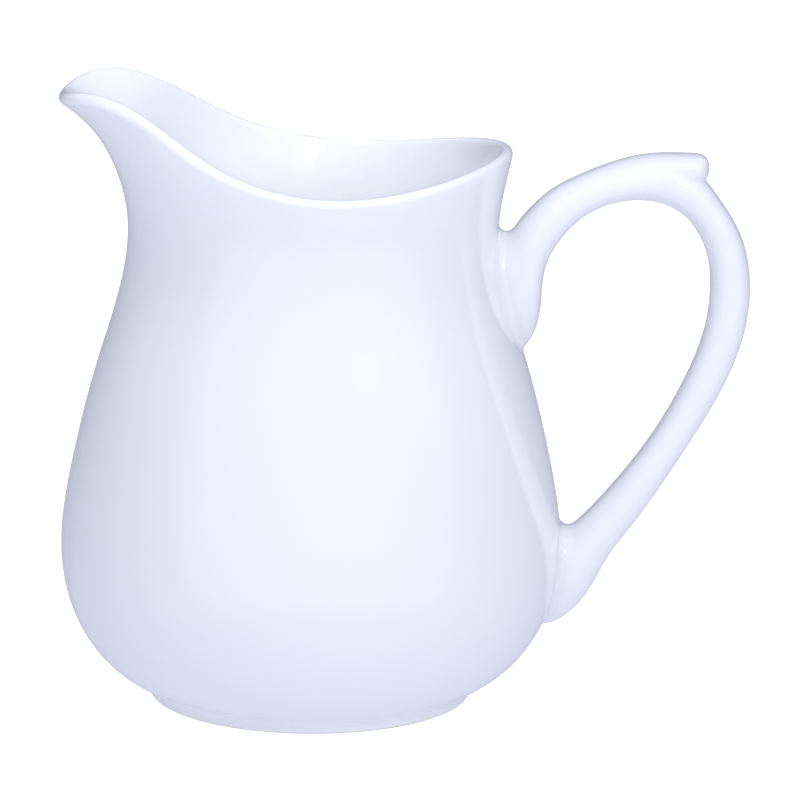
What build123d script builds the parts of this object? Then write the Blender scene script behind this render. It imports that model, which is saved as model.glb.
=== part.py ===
from build123d import *
import math
import os

# A white ceramic pitcher: a cast vessel with a drawn pouring lip, a foot ring, a loop handle with
# a thumb rest, and the two joints of slip (liquid clay) that hold the handle to the vessel.
# Millimetres. The origin is the centre of the foot on the table, +Z is up, the lip points to -X
# and the handle to +X. The whole object is symmetric about the XZ plane.

# ---- driving dimensions ----
WALL = 3.3                  # thickness of the vessel's wall
FOOT_HEIGHT = 3.0           # height of the foot ring
FOOT_RADIUS = 40.6          # outer radius of the foot ring where it meets the vessel
FOOT_TAPER = 0.2            # how much smaller the foot ring is at the table
FOOT_WIDTH = 5.5            # width of the foot ring
FOOT_ROUND = 0.7            # rounding of the foot ring's lower edges
FLOOR_TOP = 7.0             # height of the vessel's inner floor
SLIP = 0.8                  # thickness of the slip layer between handle and vessel
RIM_ROUND = 1.4             # rounding of both edges of the rim
STOCK_TOP = 158.0           # height of the vessel before its rim is cut to shape

# Half outline of the vessel: (radius, height) from the foot to above the rim.
OUTLINE = [
    (FOOT_RADIUS, FOOT_HEIGHT),
    (49.6, 8.0),
    (58.8, 20.0),
    (62.7, 37.0),
    (60.3, 58.0),
    (53.3, 86.0),
    (47.1, 108.0),
    (46.1, 121.5),
    (48.7, 136.0),
    (53.2, STOCK_TOP + 2),
]
FOOT_FLARE = (2.6, 1.0)     # direction in which the wall leaves the foot
RIM_FLARE = (0.2, 1.0)      # direction of the wall at the rim

# Height of the rim over the length of the pitcher: (x, z), from beyond the lip to the back.
RIM_LINE = [
    (-70.0, 139.0),
    (-62.7, 152.0),
    (-53.5, 154.8),
    (-39.5, 150.5),
    (-22.0, 140.3),
    (2.0, 133.9),
    (24.0, 134.9),
    (48.6, 140.0),
    (60.0, 142.8),
]

# The lip is the part of the wall pulled out towards -X near the rim.
LIP_START = 113.0           # height at which the pull begins
LIP_HEIGHT = 151.0          # height of the lip's tip
LIP_REACH = 12.9            # how far the wall is pulled out at the tip
LIP_POWER = 4.5             # how suddenly the pull grows with height
LIP_ANGLE = math.radians(24.5)      # half angle of the lip's narrow part
LIP_SHOULDER = math.radians(59.0)   # half angle of the slight widening beside it
LIP_SHOULDER_SHARE = 0.16

SECTION_POINTS = 36         # points round each horizontal section of the vessel
SECTION_HEIGHTS = [FOOT_HEIGHT, 5, 8, 13, 20, 28, 37, 48, 62, 78, 94, 108,
                   118, 127, 134, 140, 145, 150, 154, STOCK_TOP]

# Side view of the handle, from the neck round the loop to the belly: pairs of points on its outer
# and inner edge, and the width there: (outer x, outer z, inner x, inner z, width).
HANDLE_EDGES = [
    (42.0, 119.2, 43.0, 88.5, 20.0),
    (48.6, 118.6, 52.8, 89.9, 21.0),
    (50.8, 121.0, 56.2, 96.9, 20.6),
    (53.2, 123.9, 57.2, 107.5, 19.2),
    (57.9, 128.4, 60.4, 115.7, 17.8),
    (65.0, 132.5, 67.3, 123.0, 17.0),
    (75.1, 136.4, 77.0, 126.8, 17.0),
    (85.0, 137.4, 83.6, 126.8, 17.0),
    (93.6, 134.8, 88.3, 125.4, 16.6),
    (100.2, 127.7, 92.8, 122.1, 16.2),
    (105.9, 118.4, 97.0, 115.2, 15.8),
    (108.5, 105.4, 98.6, 104.8, 15.6),
    (107.0, 92.4, 97.2, 93.6, 15.6),
    (102.1, 79.5, 93.0, 82.1, 15.6),
    (91.8, 61.5, 84.1, 65.9, 15.8),
    (80.4, 44.2, 72.9, 51.3, 16.4),
    (73.2, 33.5, 67.0, 45.0, 17.2),
    (67.8, 24.3, 63.8, 43.8, 18.4),
    (63.0, 20.0, 61.6, 45.2, 19.4),
    (53.0, 19.6, 53.0, 45.8, 19.6),
]
OVAL_POINTS = 16            # points round each section of the handle
HALVINGS = 40               # rounds of the search for a height on the outline
SLOPE_STEP = 0.01           # step over which slopes are measured
LEAST_SPACING = 0.5         # least height between two sections of the vessel
FAR = 100                   # reach of the cut above the rim

# The collar of slip round each end of the handle: how far it stands out from the handle at each
# row, from inside the vessel to where it dives into the handle.
COLLAR_SPREADS = (3.0, 1.9, -0.5)

# Thumb rest: (x, z of the centre, thickness, width) along the top of the handle.
THUMB_REST = [
    (72.0, 130.7, 5.0, 9.0),
    (79.0, 133.3, 7.0, 12.0),
    (86.0, 134.7, 7.4, 12.8),
    (91.5, 135.1, 6.9, 12.8),
    (95.2, 135.3, 5.9, 12.0),
    (96.9, 135.4, 4.4, 10.0),
    (97.6, 135.4, 2.2, 7.6),
]

outline_curve = Spline(*[(r, 0, z) for r, z in OUTLINE],
                       tangents=[(FOOT_FLARE[0], 0, FOOT_FLARE[1]), (RIM_FLARE[0], 0, RIM_FLARE[1])])


def outline_at(height):
    """Radius of the round vessel at a height, and how fast it grows with height."""
    low = 0.0
    high = 1.0
    for _ in range(HALVINGS):
        middle = (low + high) / 2
        if (outline_curve @ middle).Z < height:
            low = middle
        else:
            high = middle
    point = outline_curve @ low
    direction = outline_curve % low
    return point.X, direction.X / direction.Z


def lip_share(angle):
    """Share of the lip's pull at an angle from the lip's middle."""
    narrow = math.exp(-((angle / LIP_ANGLE) ** 2))
    broad = math.exp(-((angle / LIP_SHOULDER) ** 2))
    return (1 - LIP_SHOULDER_SHARE) * narrow + LIP_SHOULDER_SHARE * broad


def lip_pull(height):
    """How far the middle of the lip is pulled out at a height."""
    rise = max(0.0, height - LIP_START) / (LIP_HEIGHT - LIP_START)
    return LIP_REACH * rise ** LIP_POWER


def vessel_section(height, inset):
    """Closed horizontal curve of the vessel's outer face, moved inwards through the wall."""
    radius, growth = outline_at(height)
    pull = lip_pull(height)
    pull_change = lip_pull(height + SLOPE_STEP) - lip_pull(height - SLOPE_STEP)
    pull_growth = pull_change / (2 * SLOPE_STEP)
    points = []
    for i in range(SECTION_POINTS):
        around = 2 * math.pi * i / SECTION_POINTS
        angle = math.pi - around if around <= math.pi else around - math.pi
        share = lip_share(angle)
        outer = radius + pull * share
        share_change = lip_share(angle + SLOPE_STEP) - lip_share(angle - SLOPE_STEP)
        share_growth = share_change / (2 * SLOPE_STEP)
        slope_up = growth + pull_growth * share
        slope_round = pull * share_growth / outer
        here = outer - inset * math.sqrt(1 + slope_up ** 2 + slope_round ** 2)
        points.append((here * math.cos(around), here * math.sin(around), height))
    return Wire(Spline(*points, periodic=True))


def vessel_solid(inset, lowest):
    """Solid inside the vessel's outer face, moved inwards by inset, from a lowest height up."""
    heights = [lowest] + [h for h in SECTION_HEIGHTS if h > lowest + LEAST_SPACING]
    return Solid.make_loft([vessel_section(h, inset) for h in heights])


def above_rim():
    """Everything above the line of the rim."""
    line = Spline(*[(x, 0, z) for x, z in RIM_LINE])
    left = line @ 0
    right = line @ 1
    top = STOCK_TOP + FAR
    sides = Polyline((left.X, 0, left.Z), (-FAR, 0, left.Z), (-FAR, 0, top),
                     (right.X, 0, top), (right.X, 0, right.Z))
    face = Face(Wire([line] + sides.edges()))
    return extrude(face, amount=FAR, dir=(0, 1, 0), both=True)


def body():
    """The vessel: one wall all over, cut to the rim's line, with a rounded rim."""
    shell = vessel_solid(0, FOOT_HEIGHT) - vessel_solid(WALL, FLOOR_TOP) - above_rim()
    rim_faces = shell.faces().filter_by(GeomType.EXTRUSION)
    rim_edges = [edge for face in rim_faces for edge in face.edges() if edge.length > 2 * WALL]
    return fillet(rim_edges, RIM_ROUND)


def foot_ring():
    """The low ring under the vessel, slightly tapered, with rounded lower edges."""
    outer_low = FOOT_RADIUS - FOOT_TAPER
    inner = FOOT_RADIUS - FOOT_WIDTH
    with BuildSketch(Plane.XZ) as section:
        with BuildLine():
            Polyline((inner, 0), (outer_low, 0), (FOOT_RADIUS, FOOT_HEIGHT),
                     (inner - FOOT_TAPER, FOOT_HEIGHT), close=True)
        make_face()
        lower = section.vertices().group_by(Axis.Y)[0]
        fillet(lower, FOOT_ROUND)
    return revolve(section.sketch, Axis.Z)


def oval(outer, inner, width):
    """Closed oval between a point on the handle's outer edge and one on its inner edge."""
    middle = (outer + inner) / 2
    half = (outer - inner) / 2
    points = []
    for i in range(OVAL_POINTS):
        around = 2 * math.pi * i / OVAL_POINTS
        points.append(middle + half * math.cos(around) + Vector(0, width / 2 * math.sin(around), 0))
    return Wire(Spline(*points, periodic=True))


def handle_slice(row, spread):
    """Section of the handle at one row of HANDLE_EDGES, made larger all round by spread."""
    outer_x, outer_z, inner_x, inner_z, width = HANDLE_EDGES[row]
    outer = Vector(outer_x, 0, outer_z)
    inner = Vector(inner_x, 0, inner_z)
    grow = (outer - inner).normalized() * spread
    return oval(outer + grow, inner - grow, width + 2 * spread)


def thumb_rest():
    """The short tongue that runs straight on from the top of the loop and ends in a blunt nose."""
    sections = []
    for x, z, thickness, width in THUMB_REST:
        sections.append(oval(Vector(x, 0, z + thickness / 2), Vector(x, 0, z - thickness / 2), width))
    return Solid.make_loft(sections)


def handle():
    """The loop, with its thumb rest, ending one slip layer short of the vessel."""
    loop = Solid.make_loft([handle_slice(row, 0) for row in range(len(HANDLE_EDGES))])
    return loop + thumb_rest() - vessel_solid(-SLIP, FOOT_HEIGHT)


def slip_joint(first_row, step):
    """Slip layer and collar round the end of the handle that starts at a row of its edges."""
    sections = []
    for i, spread in enumerate(COLLAR_SPREADS):
        sections.append(handle_slice(first_row + i * step, spread))
    flare = Solid.make_loft(sections)
    return flare - vessel_solid(0, FOOT_HEIGHT) - handle()


def write(name, shape):
    shape.label = name
    export_step(shape, f"parts/{name}.step")


os.makedirs("parts", exist_ok=True)
write("body", body())
write("foot_ring", foot_ring())
write("handle", handle())
write("handle_upper_joint", slip_joint(0, 1))
write("handle_lower_joint", slip_joint(len(HANDLE_EDGES) - 1, -1))
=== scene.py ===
import math

import bmesh
import bpy
import numpy as np
from mathutils import Matrix, Vector
from mathutils.bvhtree import BVHTree


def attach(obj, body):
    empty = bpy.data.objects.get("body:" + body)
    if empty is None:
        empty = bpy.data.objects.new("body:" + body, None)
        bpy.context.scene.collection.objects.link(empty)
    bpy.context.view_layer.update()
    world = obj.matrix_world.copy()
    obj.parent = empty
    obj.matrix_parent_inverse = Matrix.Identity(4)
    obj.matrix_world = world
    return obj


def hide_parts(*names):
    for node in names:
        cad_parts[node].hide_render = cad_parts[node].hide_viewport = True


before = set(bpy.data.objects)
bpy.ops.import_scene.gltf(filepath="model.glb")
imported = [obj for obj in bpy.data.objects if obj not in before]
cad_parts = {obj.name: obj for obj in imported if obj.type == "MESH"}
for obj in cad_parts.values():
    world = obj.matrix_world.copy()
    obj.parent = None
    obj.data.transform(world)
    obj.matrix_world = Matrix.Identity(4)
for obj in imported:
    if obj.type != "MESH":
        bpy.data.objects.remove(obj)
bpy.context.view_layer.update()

MM = 0.001
BODY = "root"

# ---- vessel ----
WALL = 3.3                  # thickness of the wall
FOOT_HEIGHT = 3.0           # height of the foot ring
FOOT_RADIUS = 40.6          # outer radius of the foot ring where it meets the vessel
FOOT_TAPER = 0.2            # how much smaller the foot ring is at the table
FOOT_WIDTH = 5.5            # width of the foot ring
FOOT_ROUND = 0.7            # rounding of the foot ring's lower edges
FOOT_HIDDEN = 0.5           # how far the bare ring reaches up inside the vessel's skin
FLOOR_TOP = 7.0             # height of the inner floor
OUTLINE = [(FOOT_RADIUS, FOOT_HEIGHT), (49.6, 8.0), (58.8, 20.0), (62.7, 37.0), (60.3, 58.0),
           (53.3, 86.0), (47.1, 108.0), (46.1, 121.5), (48.7, 136.0), (53.2, 160.0)]
FOOT_FLARE = (2.6, 1.0)     # direction in which the wall leaves the foot
RIM_FLARE = (0.2, 1.0)      # direction of the wall at the rim
RIM_LINE = [(-70.0, 139.0), (-62.7, 152.0), (-53.5, 154.8), (-39.5, 150.5), (-22.0, 140.3),
            (2.0, 133.9), (24.0, 134.9), (48.6, 140.0), (60.0, 142.8)]
LIP_START = 113.0           # height at which the lip's pull begins
LIP_HEIGHT = 151.0          # height of the lip's tip
LIP_REACH = 12.9            # how far the wall is pulled out at the tip
LIP_POWER = 4.5             # how suddenly the pull grows with height
LIP_ANGLE = math.radians(24.5)      # half angle of the lip's narrow part
LIP_SHOULDER = math.radians(59.0)   # half angle of the slight widening beside it
LIP_SHOULDER_SHARE = 0.16
RIM_SEARCH = (125.0, 158.0)         # heights between which the rim is looked for
AROUND = 288                # points round the vessel
OUTER_ROWS = 230            # rings of the mesh on the outer wall
INNER_ROWS = 190            # and on the inner wall
RIM_STEPS = 16              # and round the rim
OUTLINE_SAMPLES = 6001      # points into which the outline is divided
RIM_SAMPLES = 3001          # and the rim's line
HALVINGS = 40               # rounds of a search by halving
SLOPE_RISE = 0.2            # step in height over which the wall's slope is measured
SLOPE_TURN = 0.004          # and step in angle
GLAZE_EDGE = 0.45           # height at which the glaze ends on the foot ring
GLAZE = 0.05                # how far the glaze stands proud of the bare foot
CREASE = 1.9                # size of the pool of glaze where the wall meets the foot ring
POOL_TOP = FOOT_HEIGHT + 0.85 * CREASE      # height at which the pool ends on the belly
GLAZE_LIP = 0.5             # height of the rounded edge of the glaze on the foot ring
UNDERSIDE_START = 2.0       # radius of the innermost ring under the vessel
INNER_START = 21.0          # height at which the inner wall hands over to the floor
FLOOR_START = 1.5           # radius of the innermost ring of the inner floor
FLOOR_BLEND = 3.0           # softness of the corner between inner wall and floor
FLOOR_FADE = 4.0            # distance over which that softness sets in

# ---- handle ----
# (outer x, outer z, inner x, inner z, width), from the neck round the loop to the belly.
HANDLE_EDGES = [
    (42.0, 119.2, 43.0, 88.5, 20.0), (48.6, 118.6, 52.8, 89.9, 21.0), (50.8, 121.0, 56.2, 96.9, 20.6),
    (53.2, 123.9, 57.2, 107.5, 19.2), (57.9, 128.4, 60.4, 115.7, 17.8), (65.0, 132.5, 67.3, 123.0, 17.0),
    (75.1, 136.4, 77.0, 126.8, 17.0), (85.0, 137.4, 83.6, 126.8, 17.0), (93.6, 134.8, 88.3, 125.4, 16.6),
    (100.2, 127.7, 92.8, 122.1, 16.2), (105.9, 118.4, 97.0, 115.2, 15.8), (108.5, 105.4, 98.6, 104.8, 15.6),
    (107.0, 92.4, 97.2, 93.6, 15.6), (102.1, 79.5, 93.0, 82.1, 15.6), (91.8, 61.5, 84.1, 65.9, 15.8),
    (80.4, 44.2, 72.9, 51.3, 16.4), (73.2, 33.5, 67.0, 45.0, 17.2), (67.8, 24.3, 63.8, 43.8, 18.4),
    (63.0, 20.0, 61.6, 45.2, 19.4), (53.0, 19.6, 53.0, 45.8, 19.6),
]
SECTION_POWER = 2.35        # 2 is an ellipse, more is squarer
HANDLE_ROWS = 260           # rings along the loop
HANDLE_AROUND = 72          # points round each
ROOT_DEPTH = 1.3            # how deep the handle's ends reach into the wall
# Thumb rest along the top of the loop: (x, height of its middle line, half thickness, half width)
THUMB_LINE = [(66.0, 128.3, 2.6, 5.4), (74.0, 131.9, 3.6, 6.6), (82.0, 134.2, 3.9, 7.2),
              (90.0, 135.0, 3.6, 7.3), (98.5, 135.3, 3.0, 7.0)]
THUMB_START = 67.0          # x at which it begins, inside the loop
THUMB_END = 97.6            # x of the nose
THUMB_BOW = (0.035, 0.04)   # how fast the nose falls back across its width and its height
THUMB_ROUND = 2.6           # rounding of the nose
THUMB_BLEND = 1.5           # softness of the groove between thumb rest and loop
THUMB_POWER = 2.6           # 2 is an ellipse, more is squarer
THUMB_ROWS = 60             # rings along the thumb rest
THUMB_AROUND = 48           # points round each
THUMB_SAMPLES = 801         # points into which its line is divided
HANDLE_VOXEL = 0.6          # fineness of the handle's mesh
SETTLE_ROUNDS = 4           # rounds of laying the mesh on the exact shape, with smoothing between
LAST_FITS = 4               # fits after the last smoothing
SEAM_DEPTH = 0.6            # depth in the wall below which the end of the handle faces inwards
TANGLED = 0.93              # agreement of normals below which a point of the mesh is tangled
TANGLE_RINGS = 2            # rings of neighbours smoothed with a tangled point
TANGLE_ROUNDS = 12          # rounds of that smoothing
TANGLE_DEPTH = 0.3          # points deeper in the wall than this are left alone

# ---- joints ----
# Radius of the rolled fillet of slip at the top, at the sides and at the bottom of a root.
UPPER_COLLAR = (1.8, 3.0, 2.4)
LOWER_COLLAR = (2.4, 2.4, 1.2)
COLLAR_AROUND = 96          # points round the collar
COLLAR_ARC = 18             # rings across it
COLLAR_ROUNDS = 25          # rounds of fitting the ball that rolls round the root
COLLAR_MOVE = 0.5           # longest move of the ball in one round
COLLAR_PROUD = 0.03         # how far the collar stands proud of handle and vessel
COLLAR_SKIRT = 0.35         # width of the strip that dives under the surface beside it
COLLAR_DIVE = 0.04          # how far the strip's edge dives
COLLAR_TUCK = 0.7           # how deep the collar's hidden side lies


class Curve:
    """Smooth curve through points: cubic pieces over the distance between them."""

    def __init__(self, points, first=None, last=None, places=None):
        self.points = np.array(points, float)
        gaps = np.diff(self.points, axis=0)
        if places is None:
            places = np.concatenate([[0.0], np.cumsum(np.linalg.norm(gaps, axis=1))])
        self.places = places
        steps = np.diff(places)
        count = len(places)
        matrix = np.zeros((count, count))
        right = np.zeros(self.points.shape)
        for i in range(1, count - 1):
            before = 1 / steps[i - 1]
            after = 1 / steps[i]
            matrix[i, i - 1:i + 2] = before, 2 * (before + after), after
            right[i] = 3 * (gaps[i - 1] * before ** 2 + gaps[i] * after ** 2)
        for end, inner, slope, direction in ((0, 1, gaps[0] / steps[0], first),
                                             (-1, -2, gaps[-1] / steps[-1], last)):
            if direction is None:
                matrix[end, end] = 2
                matrix[end, inner] = 1
                right[end] = 3 * slope
            else:
                matrix[end, end] = 1
                right[end] = np.array(direction) / np.linalg.norm(direction)
        self.slopes = np.linalg.solve(matrix, right)

    def at(self, place):
        place = np.asarray(place, float)
        i = np.clip(np.searchsorted(self.places, place) - 1, 0, len(self.places) - 2)
        step = (self.places[i + 1] - self.places[i])[..., None]
        u = (place - self.places[i])[..., None] / step
        p, q = self.points[i], self.points[i + 1]
        a, b = self.slopes[i] * step, self.slopes[i + 1] * step
        return ((2 * u ** 3 - 3 * u ** 2 + 1) * p + (u ** 3 - 2 * u ** 2 + u) * a
                + (3 * u ** 2 - 2 * u ** 3) * q + (u ** 3 - u ** 2) * b)

    def samples(self, count):
        return self.at(np.linspace(0, self.places[-1], count))


def unit(vectors):
    return vectors / np.linalg.norm(vectors, axis=-1, keepdims=True)


def dot(a, b):
    return np.sum(a * b, axis=-1)


# ---------------------------------------------------------------- vessel shape
outline = Curve(OUTLINE, FOOT_FLARE, RIM_FLARE).samples(OUTLINE_SAMPLES)
rim_line = Curve(RIM_LINE).samples(RIM_SAMPLES)


def round_radius(z):
    return np.interp(z, outline[:, 1], outline[:, 0])


def outer_radius(around, z):
    """Radius of the vessel's outer face; around is the angle from +X."""
    angle = np.abs((around + 2 * math.pi) % (2 * math.pi) - math.pi)
    narrow = np.exp(-(angle / LIP_ANGLE) ** 2)
    broad = np.exp(-(angle / LIP_SHOULDER) ** 2)
    share = (1 - LIP_SHOULDER_SHARE) * narrow + LIP_SHOULDER_SHARE * broad
    pull = LIP_REACH * (np.maximum(0, z - LIP_START) / (LIP_HEIGHT - LIP_START)) ** LIP_POWER
    return round_radius(z) + pull * share


def outer_point(around, z):
    radius = outer_radius(around, z)
    return np.stack([radius * np.cos(around), radius * np.sin(around), z + 0 * radius], -1)


def outer_slopes(around, z):
    """Unit normal of the outer face, and how much steeper than level distance it is."""
    up = (outer_radius(around, z + SLOPE_RISE) - outer_radius(around, z - SLOPE_RISE)) / (2 * SLOPE_RISE)
    turn = SLOPE_TURN
    sideways = (outer_radius(around + turn, z) - outer_radius(around - turn, z)) / (2 * turn)
    sideways = sideways / outer_radius(around, z)
    normal = np.stack([np.cos(around) + sideways * np.sin(around),
                       np.sin(around) - sideways * np.cos(around), -up + 0 * around], -1)
    steep = np.linalg.norm(normal, axis=-1)
    return normal / steep[..., None], steep


def vessel_field(points):
    """Distance of points from the vessel's outer face, outside positive, and its direction."""
    around = np.arctan2(points[..., 1], points[..., 0])
    radius = np.hypot(points[..., 0], points[..., 1])
    normal, steep = outer_slopes(around, points[..., 2])
    return (radius - outer_radius(around, points[..., 2])) / steep, normal


def rim_edge(around):
    """Height of the outer face at which the rounding of the rim begins."""
    low = np.full(around.shape, RIM_SEARCH[0])
    high = np.full(around.shape, RIM_SEARCH[1])
    slope = np.gradient(rim_line[:, 1], rim_line[:, 0])
    for _ in range(HALVINGS):
        z = (low + high) / 2
        normal, _steep = outer_slopes(around, z)
        middle = outer_point(around, z) - WALL / 2 * normal
        top = np.interp(middle[:, 0], rim_line[:, 0], rim_line[:, 1])
        lean = np.interp(middle[:, 0], rim_line[:, 0], slope)
        above = middle[:, 2] > top - WALL / 2 * np.sqrt(1 + lean ** 2)
        high = np.where(above, z, high)
        low = np.where(above, low, z)
    return (low + high) / 2


def ring(radius, z):
    """Level circle of points."""
    around = np.arange(AROUND) * 2 * math.pi / AROUND
    return np.stack([radius * np.cos(around), radius * np.sin(around), np.full(AROUND, z)], -1)


def bend(start, corner, end, count):
    """Points of a soft bend from start to end, pulled towards a corner."""
    u = np.linspace(0, 1, count)[:, None]
    return (1 - u) ** 2 * np.array(start) + 2 * u * (1 - u) * np.array(corner) + u ** 2 * np.array(end)


def level(start, end, z, count):
    """Points of a level line, as (radius, height)."""
    return np.array([[radius, z] for radius in np.linspace(start, end, count)])


def foot_glaze():
    """(radius, height) of the glazed surface under the vessel, from the middle out to the belly."""
    inner = FOOT_RADIUS - FOOT_WIDTH - FOOT_TAPER
    inner_low = inner + FOOT_TAPER * (1 - GLAZE_EDGE / FOOT_HEIGHT)
    outer_low = FOOT_RADIUS - FOOT_TAPER * (1 - GLAZE_EDGE / FOOT_HEIGHT)
    side = FOOT_RADIUS - FOOT_TAPER * 0.35
    shoulder = (round_radius(POOL_TOP), POOL_TOP)
    edge_top = GLAZE_EDGE + GLAZE_LIP
    return np.concatenate([
        level(UNDERSIDE_START, inner - CREASE, FOOT_HEIGHT, 12),
        bend((inner - CREASE, FOOT_HEIGHT), (inner, FOOT_HEIGHT), (inner, FOOT_HEIGHT - CREASE), 8),
        bend((inner + 2 * GLAZE, edge_top), (inner_low, GLAZE_EDGE), (inner_low + 2 * GLAZE, GLAZE_EDGE), 6),
        level(inner_low + 1, outer_low - 1, GLAZE_EDGE, 5),
        bend((outer_low - 2 * GLAZE, GLAZE_EDGE), (outer_low, GLAZE_EDGE), (outer_low + GLAZE, edge_top), 6),
        bend((side, FOOT_HEIGHT - CREASE), (FOOT_RADIUS + 2 * GLAZE, FOOT_HEIGHT), shoulder, 10),
    ])


def floor_line(join_radius, join_z):
    """(radius, height) of the inner surface from the wall down to the middle of the floor."""
    z = np.linspace(FOOT_HEIGHT, join_z + 10, 400)
    normal, _steep = outer_slopes(np.full(z.shape, math.pi / 2), z)
    radius = outer_radius(math.pi / 2, z) - WALL * normal[:, 1]
    height = z - WALL * normal[:, 2]
    start = FOOT_RADIUS - FOOT_WIDTH
    slope = (height[1] - height[0]) / (radius[1] - radius[0])
    line = []
    for r in np.linspace(join_radius, FLOOR_START, 60)[1:]:
        wall = np.interp(r, radius, height) if r > radius[0] else height[0] - slope * (radius[0] - r)
        gap = wall - FLOOR_TOP
        soft = FLOOR_TOP + (gap + math.sqrt(gap ** 2 + FLOOR_BLEND ** 2)) / 2
        fade = min(1.0, (join_radius - r) / FLOOR_FADE)
        line.append((r, wall + (soft - wall) * fade if r > start else soft))
    return line


def vessel_rows():
    """Rings of the whole glazed skin: underside, outer wall, rim, inner wall and inner floor."""
    around = np.arange(AROUND) * 2 * math.pi / AROUND
    edge = rim_edge(around)
    rows = [ring(r, z) for r, z in foot_glaze()]
    for share in np.linspace(0, 1, OUTER_ROWS)[1:]:
        rows.append(outer_point(around, POOL_TOP + (edge - POOL_TOP) * share))
    normal, _steep = outer_slopes(around, edge)
    middle = rows[-1] - WALL / 2 * normal
    along = unit(np.roll(middle, -1, axis=0) - np.roll(middle, 1, axis=0))
    up = np.cross(normal, along)
    up = unit(up * np.sign(up[:, 2:3]))
    for turn in np.linspace(0, math.pi, RIM_STEPS)[1:]:
        rows.append(middle + WALL / 2 * (normal * math.cos(turn) + up * math.sin(turn)))
    for share in np.linspace(1, 0, INNER_ROWS)[1:]:
        z = INNER_START + (edge - INNER_START) * share
        normal, _steep = outer_slopes(around, z)
        rows.append(outer_point(around, z) - WALL * normal)
    join = rows[-1]
    for r, z in floor_line(float(np.hypot(join[0, 0], join[0, 1])), float(join[0, 2])):
        rows.append(ring(r, z))
    return np.array(rows)


# ---------------------------------------------------------------- handle shape
class Sweep:
    """Surface swept through pairs of edge points, with a rounded section between them."""

    SLOPE_STEP = 0.02       # step over which slopes are measured
    MOST_MOVE = 2.0         # longest move along the loop in one round of a search
    MOST_TURN = 0.4         # largest turn round it
    END_MARGIN = 0.1        # how close to its ends a search may come

    def __init__(self, edges, power):
        edges = np.array(edges, float)
        self.power = power
        middle = (edges[:, 0:2] + edges[:, 2:4]) / 2
        places = np.concatenate([[0.0], np.cumsum(np.linalg.norm(np.diff(middle, axis=0), axis=1))])
        self.curve = Curve(edges, places=places)
        self.length = places[-1]
        self.places = places

    def at(self, place, turn):
        e = self.curve.at(place)
        middle = (e[..., 0:2] + e[..., 2:4]) / 2
        half = (e[..., 0:2] - e[..., 2:4]) / 2
        cosine, sine = np.cos(turn), np.sin(turn)
        grow = (np.abs(cosine) ** self.power + np.abs(sine) ** self.power) ** (-1 / self.power)
        side = middle + half * (grow * cosine)[..., None]
        return np.stack([side[..., 0], e[..., 4] / 2 * grow * sine, side[..., 1]], -1)

    def slopes(self, place, turn):
        step = self.SLOPE_STEP
        forward = (self.at(place + step, turn) - self.at(place - step, turn)) / (2 * step)
        round_ = (self.at(place, turn + step) - self.at(place, turn - step)) / (2 * step)
        return forward, round_

    def normal(self, place, turn):
        forward, round_ = self.slopes(place, turn)
        n = unit(np.cross(forward, round_))
        centre = self.at(place, turn) - self.at(place, turn + math.pi)
        return n * np.sign(dot(n, centre))[..., None]

    def nearest(self, points, place, turn, rounds=6):
        """Distance and direction from the surface, starting the search at place and turn."""
        for _ in range(rounds):
            forward, round_ = self.slopes(place, turn)
            gap = points - self.at(place, turn)
            ff, fr, rr = dot(forward, forward), dot(forward, round_), dot(round_, round_)
            fg, rg = dot(forward, gap), dot(round_, gap)
            size = ff * rr - fr ** 2 + 1e-9
            place = place + np.clip((rr * fg - fr * rg) / size, -self.MOST_MOVE, self.MOST_MOVE)
            place = np.clip(place, self.END_MARGIN, self.length - self.END_MARGIN)
            turn = turn + np.clip((ff * rg - fr * fg) / size, -self.MOST_TURN, self.MOST_TURN)
        gap = points - self.at(place, turn)
        normal = self.normal(place, turn)
        return dot(gap, normal), normal, place, turn


loop = Sweep(HANDLE_EDGES, SECTION_POWER)


def crossing(turn, near, far, depth):
    """Place along the loop where it comes out of the vessel, at a depth below its outer face."""
    inside = np.full(turn.shape, float(near))
    outside = np.full(turn.shape, float(far))
    for _ in range(HALVINGS):
        place = (inside + outside) / 2
        distance, _normal = vessel_field(loop.at(place, turn))
        out = distance > -depth
        outside = np.where(out, place, outside)
        inside = np.where(out, inside, place)
    return (inside + outside) / 2


# Stretch of the loop, from inside the wall outwards, in which each root leaves the vessel.
UPPER = (0.0, loop.places[3])
LOWER = (loop.length, loop.places[-4])

# The ends of the loop at each turn round it.
loop_turn = np.arange(HANDLE_AROUND) * 2 * math.pi / HANDLE_AROUND
loop_start = crossing(loop_turn, *UPPER, ROOT_DEPTH)
loop_end = crossing(loop_turn, *LOWER, ROOT_DEPTH)


def loop_rows():
    """Rings of the loop from inside the neck's wall to inside the belly's wall."""
    shares = np.linspace(0, 1, HANDLE_ROWS)
    return np.array([loop.at(loop_start + (loop_end - loop_start) * u, loop_turn) for u in shares])


thumb_line = Curve(THUMB_LINE).samples(THUMB_SAMPLES)


def thumb_field(points):
    """Approximate distance of points from the thumb rest."""
    x, y, z = points[..., 0], points[..., 1], points[..., 2]
    middle, thick, wide = (np.interp(x, thumb_line[:, 0], thumb_line[:, i]) for i in (1, 2, 3))
    power = THUMB_POWER
    across = (np.abs((z - middle) / thick) ** power + np.abs(y / wide) ** power + 1e-9) ** (1 / power)
    reach = np.hypot(z - middle, y) + 1e-6
    side = reach * (1 - 1 / np.maximum(across, 1e-3))
    bow = THUMB_END - THUMB_BOW[0] * y ** 2 - THUMB_BOW[1] * (z - middle) ** 2
    front = x - bow
    back = THUMB_START - x
    soft = np.maximum(THUMB_ROUND - np.abs(side - front), 0) ** 2 / (4 * THUMB_ROUND)
    return np.maximum(np.maximum(side, front) + soft, back)


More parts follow.
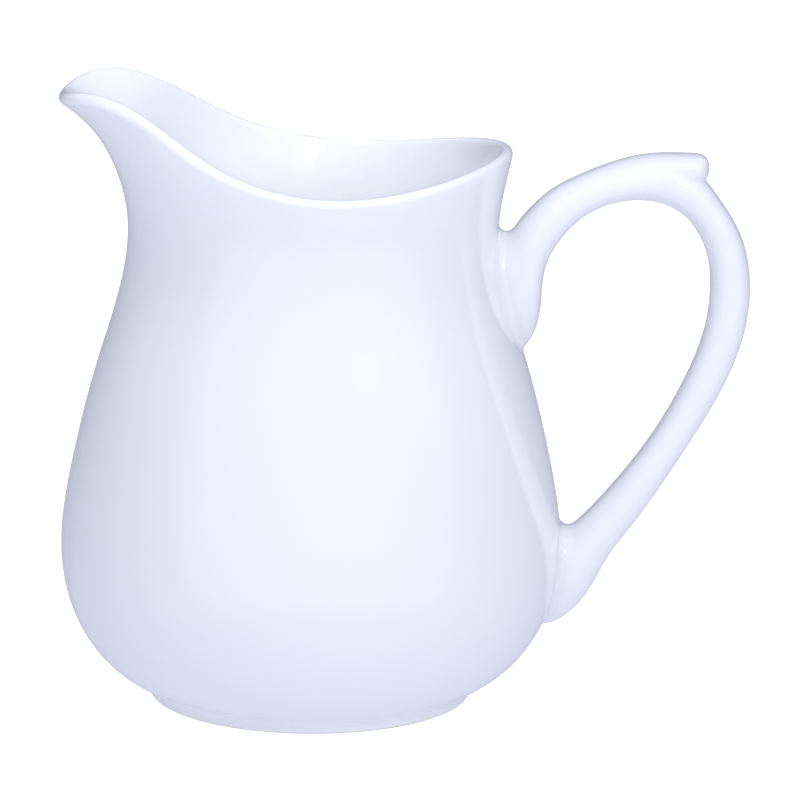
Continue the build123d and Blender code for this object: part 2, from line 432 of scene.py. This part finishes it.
def thumb_direction(points, distance):
    """Direction in which the distance from the thumb rest grows, with its steepness."""
    slope = np.zeros(points.shape)
    step = Sweep.SLOPE_STEP
    for axis in range(3):
        moved = points.copy()
        moved[:, axis] += step
        slope[:, axis] = (thumb_field(moved) - distance) / step
    return slope


def handle_field(points, place, turn):
    """Distance of points from the handle and its direction, with a groove beside the thumb rest."""
    near, direction, place, turn = loop.nearest(points, place, turn, rounds=3)
    rest = thumb_field(points)
    overlap = np.maximum(THUMB_BLEND - np.abs(near - rest), 0)
    share = overlap / (2 * THUMB_BLEND)
    rest_share = np.where(near < rest, share, 1 - share)[:, None]
    slope = (1 - rest_share) * direction + rest_share * thumb_direction(points, rest)
    steep = np.linalg.norm(slope, axis=1) + 1e-9
    distance = np.minimum(near, rest) - overlap ** 2 / (4 * THUMB_BLEND)
    return distance / steep, slope / steep[:, None], place, turn


# ---------------------------------------------------------------- meshes
def finish_mesh(name, points, faces):
    mesh = bpy.data.meshes.new(name)
    mesh.from_pydata((np.asarray(points) * MM).tolist(), [], faces)
    mesh.update()
    work = bmesh.new()
    work.from_mesh(mesh)
    bmesh.ops.recalc_face_normals(work, faces=work.faces)
    work.to_mesh(mesh)
    work.free()
    mesh.polygons.foreach_set("use_smooth", np.ones(len(mesh.polygons), bool))
    obj = bpy.data.objects.new(name, mesh)
    bpy.context.scene.collection.objects.link(obj)
    return obj


def ring_faces(rows, closed=False):
    """Quads between rings; closed also joins the last ring to the first."""
    count, around, _ = rows.shape
    index = np.arange(count * around).reshape(count, around)
    if closed:
        index = np.concatenate([index, index[:1]])
    after = np.roll(index, -1, axis=1)
    return np.stack([index[:-1], after[:-1], after[1:], index[1:]], -1).reshape(-1, 4).tolist()


def skin(name, rows):
    """Closed surface through rings, with a fan over the first and the last."""
    count, around, _ = rows.shape
    faces = ring_faces(rows)
    points = np.concatenate([rows.reshape(-1, 3), rows[0].mean(0)[None], rows[-1].mean(0)[None]])
    for centre, base in ((count * around, 0), (count * around + 1, (count - 1) * around)):
        for i in range(around):
            faces.append([centre, base + i, base + (i + 1) % around])
    return finish_mesh(name, points, faces)


def body_piece():
    """Glazed skin of the whole vessel, foot included."""
    return skin("glazed_body", vessel_rows())


def foot_piece():
    """Bare ring that the vessel stands on, just inside the glaze."""
    outer_low = FOOT_RADIUS - FOOT_TAPER - GLAZE
    outer = FOOT_RADIUS - GLAZE
    inner_low = FOOT_RADIUS - FOOT_WIDTH + GLAZE
    inner = inner_low - FOOT_TAPER
    top = FOOT_HEIGHT + FOOT_HIDDEN
    line = np.concatenate([
        [[inner + 0.4, top], [inner, FOOT_HEIGHT], [inner_low - FOOT_TAPER, FOOT_ROUND + 0.4]],
        bend((inner_low, FOOT_ROUND), (inner_low, 0), (inner_low + FOOT_ROUND, 0), 8),
        level(inner_low + FOOT_ROUND, outer_low - FOOT_ROUND, 0, 6)[1:-1],
        bend((outer_low - FOOT_ROUND, 0), (outer_low, 0), (outer_low, FOOT_ROUND), 8),
        [[outer, FOOT_HEIGHT], [outer - 0.4, top]],
    ])
    rows = np.array([ring(r, z) for r, z in line])
    return finish_mesh("bare_foot_ring", rows.reshape(-1, 3), ring_faces(rows, closed=True))


def thumb_rows():
    """Rings of the thumb rest, as a first shape for the handle's mesh."""
    turn = np.arange(THUMB_AROUND) * 2 * math.pi / THUMB_AROUND
    rows = []
    for x in np.linspace(THUMB_START, THUMB_END - 0.6, THUMB_ROWS):
        middle, thick, wide = (np.interp(x, thumb_line[:, 0], thumb_line[:, i]) for i in (1, 2, 3))
        shrink = math.sqrt(max(0.05, 1 - max(0.0, (x - THUMB_END + THUMB_ROUND) / THUMB_ROUND) ** 2))
        across = shrink * wide * np.sin(turn)
        height = middle + shrink * thick * np.cos(turn)
        rows.append(np.stack([np.full(THUMB_AROUND, x), across, height], -1))
    return np.array(rows)


def rough_handle():
    """Loop and thumb rest, remeshed together into one even skin."""
    rough = skin("loop_handle", loop_rows())
    rest = skin("thumb_rest", thumb_rows())
    work = bmesh.new()
    work.from_mesh(rough.data)
    work.from_mesh(rest.data)
    work.to_mesh(rough.data)
    work.free()
    bpy.data.objects.remove(rest)
    remesh = rough.modifiers.new("remesh", "REMESH")
    remesh.mode = "VOXEL"
    remesh.voxel_size = HANDLE_VOXEL * MM
    remesh.adaptivity = 0
    result = bpy.data.meshes.new_from_object(rough.evaluated_get(bpy.context.evaluated_depsgraph_get()))
    rough.modifiers.clear()
    rough.data = result
    result.name = "loop_handle"
    return rough


def vertex_places(mesh):
    points = np.zeros(len(mesh.vertices) * 3)
    mesh.vertices.foreach_get("co", points)
    return points.reshape(-1, 3) / MM


def vertex_normals(mesh):
    normals = np.zeros(len(mesh.vertices) * 3)
    mesh.vertex_normals.foreach_get("vector", normals)
    return normals.reshape(-1, 3)


def edge_ends(mesh):
    edges = np.zeros(len(mesh.edges) * 2, int)
    mesh.edges.foreach_get("vertices", edges)
    return edges.reshape(-1, 2)


def move_vertices(mesh, points):
    mesh.vertices.foreach_set("co", (points * MM).ravel())
    mesh.update()


def neighbour_mean(points, edges):
    """Middle of each point's neighbours."""
    total = np.zeros(points.shape)
    np.add.at(total, edges[:, 0], points[edges[:, 1]])
    np.add.at(total, edges[:, 1], points[edges[:, 0]])
    valence = np.bincount(edges.ravel(), minlength=len(points))
    return total / valence[:, None]


def first_guess(points):
    """Place along the loop and turn round it of the ring mesh's face nearest to each point."""
    rows = loop_rows()
    tree = BVHTree.FromPolygons(rows.reshape(-1, 3).tolist(), ring_faces(rows))
    nearest = np.array([tree.find_nearest(Vector(p))[2] for p in points])
    row, column = np.divmod(nearest, HANDLE_AROUND)
    share = (row + 0.5) / (HANDLE_ROWS - 1)
    place = loop_start[column] + (loop_end[column] - loop_start[column]) * share
    return place, loop_turn[column] + math.pi / HANDLE_AROUND


def untangle(mesh, points, edges, direction, depth):
    """Smooth the points where the loop curls so tightly that the search for the surface is unsure."""
    tangled = (dot(direction, vertex_normals(mesh)) < TANGLED) & (depth > -TANGLE_DEPTH)
    for _ in range(TANGLE_RINGS):
        touched = tangled[edges].any(1)
        tangled[edges[touched].ravel()] = True
    for _ in range(TANGLE_ROUNDS):
        points = np.where(tangled[:, None], neighbour_mean(points, edges), points)
    move_vertices(mesh, points)
    return np.where(tangled[:, None], vertex_normals(mesh), direction)


def handle_piece():
    """Loop and thumb rest as one skin: remeshed together, then laid on the exact shape."""
    piece = rough_handle()
    mesh = piece.data
    points = vertex_places(mesh)
    edges = edge_ends(mesh)
    place, angle = first_guess(points)
    for fits in [1] * SETTLE_ROUNDS + [LAST_FITS]:
        points = points + 0.5 * (neighbour_mean(points, edges) - points)
        for _ in range(fits):
            distance, direction, place, angle = handle_field(points, place, angle)
            points = points - distance[:, None] * direction
    depth, wall_normal = vessel_field(points)
    sunk = np.maximum(0, -ROOT_DEPTH - depth)
    points = points + sunk[:, None] * wall_normal
    _distance, direction, place, angle = handle_field(points, place, angle)
    move_vertices(mesh, points)
    mesh.polygons.foreach_set("use_smooth", np.ones(len(mesh.polygons), bool))
    direction = np.where((depth < -SEAM_DEPTH)[:, None], -wall_normal, direction)
    direction = untangle(mesh, points, edges, direction, depth)
    mesh.normals_split_custom_set_from_vertices(direction.tolist())
    return piece


def collar_radius(side, turn, radii):
    """Radius of the fillet at each turn round a root, blended between top, sides and bottom."""
    top, sides, bottom = radii
    upward = np.cos(turn)
    if side is LOWER:
        upward = -upward
    return sides + (np.where(upward > 0, top, bottom) - sides) * np.abs(upward) ** 3


def rolled_ball(seam, place, turn, radius):
    """Middle of a ball that touches vessel and handle at each point of the seam, and their normals."""
    tangent = unit(np.roll(seam, -1, axis=0) - np.roll(seam, 1, axis=0))
    _distance, wall = vessel_field(seam)
    hand = loop.normal(place, turn)
    centre = seam + (radius / (1 + np.maximum(dot(wall, hand), -0.8)))[:, None] * (wall + hand)
    for _ in range(COLLAR_ROUNDS):
        wall_gap, wall = vessel_field(centre)
        hand_gap, hand, place, turn = loop.nearest(centre, place, turn, rounds=3)
        system = np.stack([wall, hand, tangent], 1)
        wanted = np.stack([radius - wall_gap, radius - hand_gap, dot(tangent, seam - centre)], -1)
        move = np.linalg.solve(system, wanted[..., None])[..., 0]
        centre = centre + np.clip(move, -COLLAR_MOVE, COLLAR_MOVE)
    _distance, wall = vessel_field(centre)
    _distance, hand, _place, _turn = loop.nearest(centre, place, turn)
    return centre, wall, hand


def collar_piece(name, side, radii):
    """Fillet of slip round one end of the handle: a ball rolled between handle and vessel."""
    turn = np.arange(COLLAR_AROUND) * 2 * math.pi / COLLAR_AROUND
    place = crossing(turn, *side, 0.0)
    radius = collar_radius(side, turn, radii)
    seam = loop.at(place, turn)
    centre, wall, hand = rolled_ball(seam, place, turn, radius)
    spread = np.arccos(np.clip(dot(wall, hand), -1, 1))
    rows = []
    normals = []
    for share in np.linspace(0, 1, COLLAR_ARC):
        wall_weight = np.sin((1 - share) * spread) / np.sin(spread)
        hand_weight = np.sin(share * spread) / np.sin(spread)
        direction = unit(wall_weight[:, None] * wall + hand_weight[:, None] * hand)
        rows.append(centre - (radius - COLLAR_PROUD)[:, None] * direction)
        normals.append(direction)
    wall_edge = rows[0] + COLLAR_SKIRT * unit(rows[0] - rows[1])
    hand_edge = rows[-1] + COLLAR_SKIRT * unit(rows[-1] - rows[-2])
    rows = [
        wall_edge - COLLAR_DIVE * wall,
        *rows,
        hand_edge - COLLAR_DIVE * hand,
        hand_edge - COLLAR_TUCK * hand,
        seam - COLLAR_TUCK * (wall + hand),
        wall_edge - COLLAR_TUCK * wall,
    ]
    rows = np.array(rows)
    normals = np.array([wall, *normals, hand, -hand, -wall, -wall])
    piece = finish_mesh(name, rows.reshape(-1, 3), ring_faces(rows, closed=True))
    piece.data.normals_split_custom_set_from_vertices(normals.reshape(-1, 3).tolist())
    return piece


# ---------------------------------------------------------------- materials
GLAZE_TONES = [(0.3, (0.885, 0.893, 0.915)), (0.7, (0.90, 0.906, 0.925))]
SPECK_COLOUR = (0.16, 0.14, 0.15)
SPECK_EDGE = [(0.012, (1, 1, 1)), (0.03, (0, 0, 0))]    # from a speck's middle outwards
SPECK_CHANCE = [(0.955, (0, 0, 0)), (0.96, (1, 1, 1))]  # only a few cells hold a speck
BISQUE_TONES = [(0.3, (0.70, 0.67, 0.62)), (0.7, (0.80, 0.78, 0.74))]
FLOOR_TONES = [(0.3, (0.50, 0.50, 0.505)), (0.7, (0.53, 0.53, 0.535))]
FLOOR_GLOW = 0.85           # the floor's own light, which keeps it as pale as the surroundings


def set_inputs(node, values):
    for name, value in values.items():
        node.inputs[name].default_value = value


def new_material(name):
    material = bpy.data.materials.new(name)
    material.use_nodes = True
    nodes = material.node_tree.nodes
    shader = next(n for n in nodes if n.type == "BSDF_PRINCIPLED")
    return material, nodes, material.node_tree.links, shader


def noise(nodes, links, source, scale, detail):
    node = nodes.new("ShaderNodeTexNoise")
    set_inputs(node, {"Scale": scale, "Detail": detail})
    links.new(source, node.inputs["Vector"])
    return node.outputs["Fac"]


def ramp(nodes, links, source, stops):
    """Colour that follows a value through stops of (value, colour)."""
    node = nodes.new("ShaderNodeValToRGB")
    while len(node.color_ramp.elements) < len(stops):
        node.color_ramp.elements.new(0.5)
    for element, (position, colour) in zip(node.color_ramp.elements, stops):
        element.position = position
        element.color = (*colour, 1)
    links.new(source, node.inputs["Fac"])
    return node.outputs["Color"]


def multiply(nodes, links, a, b):
    node = nodes.new("ShaderNodeMath")
    node.operation = "MULTIPLY"
    links.new(a, node.inputs[0])
    links.new(b, node.inputs[1])
    return node.outputs[0]


def mix_colour(nodes, links, blend, factor, a, b):
    """Blend of colour a, from a socket, with the plain colour b."""
    node = nodes.new("ShaderNodeMix")
    node.data_type = "RGBA"
    node.blend_type = blend
    sockets = {socket.identifier: socket for socket in node.inputs}
    links.new(factor, sockets["Factor_Float"])
    links.new(a, sockets["A_Color"])
    sockets["B_Color"].default_value = (*b, 1)
    return next(socket for socket in node.outputs if socket.identifier == "Result_Color")


def bump(nodes, links, height, strength, distance):
    node = nodes.new("ShaderNodeBump")
    set_inputs(node, {"Strength": strength, "Distance": distance})
    links.new(height, node.inputs["Height"])
    return node


def glaze_material():
    """White porcelain under clear glaze: faint cloudiness, sparse iron specks, a very slight ripple."""
    material, nodes, links, shader = new_material("white_glaze")
    place = nodes.new("ShaderNodeTexCoord").outputs["Object"]
    cloud = noise(nodes, links, place, scale=28.0, detail=3.0)
    white = ramp(nodes, links, cloud, GLAZE_TONES)
    cells = nodes.new("ShaderNodeTexVoronoi")
    set_inputs(cells, {"Scale": 95.0})
    links.new(place, cells.inputs["Vector"])
    spot = ramp(nodes, links, cells.outputs["Distance"], SPECK_EDGE)
    chosen = ramp(nodes, links, cells.outputs["Color"], SPECK_CHANCE)
    speck = multiply(nodes, links, spot, chosen)
    links.new(mix_colour(nodes, links, "MIX", speck, white, SPECK_COLOUR), shader.inputs["Base Color"])

    smear = noise(nodes, links, place, scale=60.0, detail=4.0)
    rough = nodes.new("ShaderNodeMapRange")
    set_inputs(rough, {"To Min": 0.10, "To Max": 0.16})
    links.new(smear, rough.inputs["Value"])
    links.new(rough.outputs["Result"], shader.inputs["Roughness"])
    set_inputs(shader, {
        "IOR": 1.5,
        "Coat Weight": 0.6,
        "Coat Roughness": 0.05,
        "Coat IOR": 1.5,
        "Subsurface Weight": 0.12,
        "Subsurface Radius": (1.0, 0.95, 0.9),
        "Subsurface Scale": 0.002,
    })

    ripple = noise(nodes, links, place, scale=45.0, detail=1.0)
    peel = noise(nodes, links, place, scale=420.0, detail=2.0)
    broad = bump(nodes, links, ripple, strength=0.25, distance=0.0004)
    fine = bump(nodes, links, peel, strength=0.12, distance=0.00006)
    links.new(broad.outputs["Normal"], fine.inputs["Normal"])
    links.new(fine.outputs["Normal"], shader.inputs["Normal"])
    return material


def bisque_material():
    """Unglazed porcelain: matt, slightly warm, with a fine grain."""
    material, nodes, links, shader = new_material("bare_foot")
    place = nodes.new("ShaderNodeTexCoord").outputs["Object"]
    grain = noise(nodes, links, place, scale=900.0, detail=4.0)
    links.new(ramp(nodes, links, grain, BISQUE_TONES), shader.inputs["Base Color"])
    set_inputs(shader, {"Roughness": 0.75})
    rough = bump(nodes, links, grain, strength=0.5, distance=0.0001)
    links.new(rough.outputs["Normal"], shader.inputs["Normal"])
    return material


def floor_material():
    """Pale table top with a faint unevenness."""
    material, nodes, links, shader = new_material("pale_floor")
    place = nodes.new("ShaderNodeTexCoord").outputs["Object"]
    patch = noise(nodes, links, place, scale=3.0, detail=2.0)
    links.new(ramp(nodes, links, patch, FLOOR_TONES), shader.inputs["Base Color"])
    set_inputs(shader, {
        "Roughness": 0.8,
        "Specular IOR Level": 0.1,
        "Emission Color": (1, 1, 1, 1),
        "Emission Strength": FLOOR_GLOW,
    })
    return material


# ---------------------------------------------------------------- stage
# Camera, in millimetres.
CAMERA_PLACE = (30.674, -1122.711, 322.142)
CAMERA_TARGET = (0.0, 0.0, 75.0)
CAMERA_AIM = (21.95, 0.02)      # what the view is centred on, right of and above the target
CAMERA_ROLL = math.radians(0.45)
CAMERA_LENS = 207.0
CAMERA_SENSOR = 36.0
CAMERA_CLIP = (0.05, 20.0)      # metres
FLOOR_SIZE = 3.0                # metres
FLOOR_POINTS = 12               # points along each side of the floor
FLOOR_DROP = 0.02               # millimetres, keeps the floor just clear of the foot

# Lamps, in metres and watts: a soft key from the front right, and two narrow beams, one onto the
# inside of the far wall near the rim and one steeply down into the mouth.
KEY_PLACE = (0.55, -0.85, 0.62)
KEY_AIM = (0, 0, 0.1)
KEY_SIZE = (0.22, 0.16)
KEY_POWER = 1.15
FLASH_PLACE = (0.072, -1.12, 0.43)
FLASH_AIM = (-0.002, 0.045, 0.143)
FLASH_SIZE = (0.15, 0.05)
FLASH_POWER = 0.005
FLASH_SPREAD = math.radians(2.8)
MOUTH_PLACE = (0.0, -0.275, 0.61)
MOUTH_AIM = (0.0, 0.0, 0.134)
MOUTH_SIZE = (0.04, 0.04)
MOUTH_POWER = 0.011
MOUTH_SPREAD = math.radians(5)

# Tones of the white tent round the object, from straight below to straight above.
TENT_TONES = [(0.0, (0.84, 0.87, 1.03)), (0.3, (0.61, 0.63, 0.77)), (0.5, (0.27, 0.285, 0.37)),
              (0.75, (0.60, 0.625, 0.74)), (1.0, (0.72, 0.75, 0.87))]
FRONT_DIRECTION = (0.09, -0.93, 0.355)      # middle of the tent's bright front
FRONT_TONE = (0.535, 0.54, 0.565)
FRONT_EDGE = (0.34, 0.47)                   # cosines between which the front fades in
FRONT_FOOT = (-0.45, -0.20)                 # heights between which it fades in above the table


def add_camera():
    """Camera at the front, aimed beside the target and rolled a little."""
    place = np.array(CAMERA_PLACE)
    forward = unit(np.array(CAMERA_TARGET) - place)
    right = unit(np.cross(forward, (0, 0, 1)))
    up = np.cross(right, forward)
    rolled_right = math.cos(CAMERA_ROLL) * right + math.sin(CAMERA_ROLL) * up
    rolled_up = -math.sin(CAMERA_ROLL) * right + math.cos(CAMERA_ROLL) * up
    aim = np.array(CAMERA_TARGET) + CAMERA_AIM[0] * rolled_right + CAMERA_AIM[1] * rolled_up
    forward = unit(aim - place)
    right = unit(np.cross(forward, rolled_up))
    up = np.cross(right, forward)
    camera = bpy.data.cameras.new("camera")
    camera.lens = CAMERA_LENS
    camera.sensor_width = CAMERA_SENSOR
    camera.clip_start, camera.clip_end = CAMERA_CLIP
    obj = bpy.data.objects.new("camera", camera)
    turned = Matrix(np.stack([right, up, -forward], 1).tolist()).to_4x4()
    obj.matrix_world = Matrix.Translation(Vector(place * MM)) @ turned
    bpy.context.scene.collection.objects.link(obj)
    bpy.context.scene.camera = obj


def add_lamp(name, place, aim, size, power, spread=math.pi):
    lamp = bpy.data.lights.new(name, "AREA")
    lamp.shape = "RECTANGLE"
    lamp.size, lamp.size_y = size
    lamp.energy = power
    lamp.spread = spread
    obj = bpy.data.objects.new(name, lamp)
    obj.location = place
    obj.rotation_euler = (Vector(aim) - Vector(place)).to_track_quat("-Z", "Y").to_euler()
    bpy.context.scene.collection.objects.link(obj)


def smooth_step(nodes, links, source, start, end):
    """0 below start, 1 above end, smooth between."""
    node = nodes.new("ShaderNodeMapRange")
    node.interpolation_type = "SMOOTHSTEP"
    set_inputs(node, {"From Min": start, "From Max": end})
    links.new(source, node.inputs["Value"])
    return node.outputs["Result"]


def tent_light(nodes, links):
    """Colour of the tent by direction: its tones by height, and the broad bright front."""
    direction = nodes.new("ShaderNodeTexCoord").outputs["Generated"]
    split = nodes.new("ShaderNodeSeparateXYZ")
    links.new(direction, split.inputs["Vector"])
    height = nodes.new("ShaderNodeMapRange")
    set_inputs(height, {"From Min": -1, "From Max": 1})
    links.new(split.outputs["Z"], height.inputs["Value"])
    tent = ramp(nodes, links, height.outputs["Result"], TENT_TONES)
    facing = nodes.new("ShaderNodeVectorMath")
    facing.operation = "DOT_PRODUCT"
    links.new(direction, facing.inputs[0])
    facing.inputs[1].default_value = FRONT_DIRECTION
    in_front = smooth_step(nodes, links, facing.outputs["Value"], *FRONT_EDGE)
    above_table = smooth_step(nodes, links, split.outputs["Z"], *FRONT_FOOT)
    front = multiply(nodes, links, in_front, above_table)
    return mix_colour(nodes, links, "ADD", front, tent, FRONT_TONE)


def add_world():
    """White surroundings for the camera, and the soft light of a white tent for the object."""
    world = bpy.data.worlds.new("studio")
    world.use_nodes = True
    nodes = world.node_tree.nodes
    links = world.node_tree.links
    background = next(n for n in nodes if n.type == "BACKGROUND")
    output = next(n for n in nodes if n.type == "OUTPUT_WORLD")
    links.new(tent_light(nodes, links), background.inputs["Color"])
    set_inputs(background, {"Strength": 1.0})
    seen = nodes.new("ShaderNodeBackground")
    set_inputs(seen, {"Color": (1, 1, 1, 1)})
    path = nodes.new("ShaderNodeLightPath")
    choose = nodes.new("ShaderNodeMixShader")
    links.new(path.outputs["Is Camera Ray"], choose.inputs["Fac"])
    links.new(background.outputs["Background"], choose.inputs[1])
    links.new(seen.outputs["Background"], choose.inputs[2])
    links.new(choose.outputs["Shader"], output.inputs["Surface"])
    bpy.context.scene.world = world


def add_floor():
    """Floor that the camera sees, but that casts no shadow or reflection on the object."""
    side = np.linspace(-FLOOR_SIZE / 2, FLOOR_SIZE / 2, FLOOR_POINTS) / MM
    rows = np.array([[(x, y, -FLOOR_DROP) for x in side] for y in side])
    index = np.arange(FLOOR_POINTS ** 2).reshape(FLOOR_POINTS, FLOOR_POINTS)
    faces = np.stack([index[:-1, :-1], index[:-1, 1:], index[1:, 1:], index[1:, :-1]], -1)
    floor = finish_mesh("floor", rows.reshape(-1, 3), faces.reshape(-1, 4).tolist())
    floor.data.materials.append(floor_material())
    floor.visible_diffuse = False
    floor.visible_glossy = False
    floor.visible_shadow = False


def add_studio():
    add_world()
    add_lamp("key_lamp", KEY_PLACE, KEY_AIM, KEY_SIZE, KEY_POWER)
    add_lamp("flash", FLASH_PLACE, FLASH_AIM, FLASH_SIZE, FLASH_POWER, FLASH_SPREAD)
    add_lamp("mouth_lamp", MOUTH_PLACE, MOUTH_AIM, MOUTH_SIZE, MOUTH_POWER, MOUTH_SPREAD)
    view = bpy.context.scene.view_settings
    view.view_transform = "Standard"
    view.look = "None"


# ---------------------------------------------------------------- assembly
glaze = glaze_material()
bisque = bisque_material()
pieces = [
    (body_piece(), "body", "white_glaze", glaze),
    (foot_piece(), "foot_ring", "bare_foot", bisque),
    (handle_piece(), "handle", "white_glaze", glaze),
    (collar_piece("upper_slip_collar", UPPER, UPPER_COLLAR), "handle_upper_joint", "white_glaze", glaze),
    (collar_piece("lower_slip_collar", LOWER, LOWER_COLLAR), "handle_lower_joint", "white_glaze", glaze),
]
for piece, node, slot, material in pieces:
    piece.data.materials.append(material)
    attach(piece, BODY)
    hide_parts(node)

add_floor()
add_camera()
add_studio()
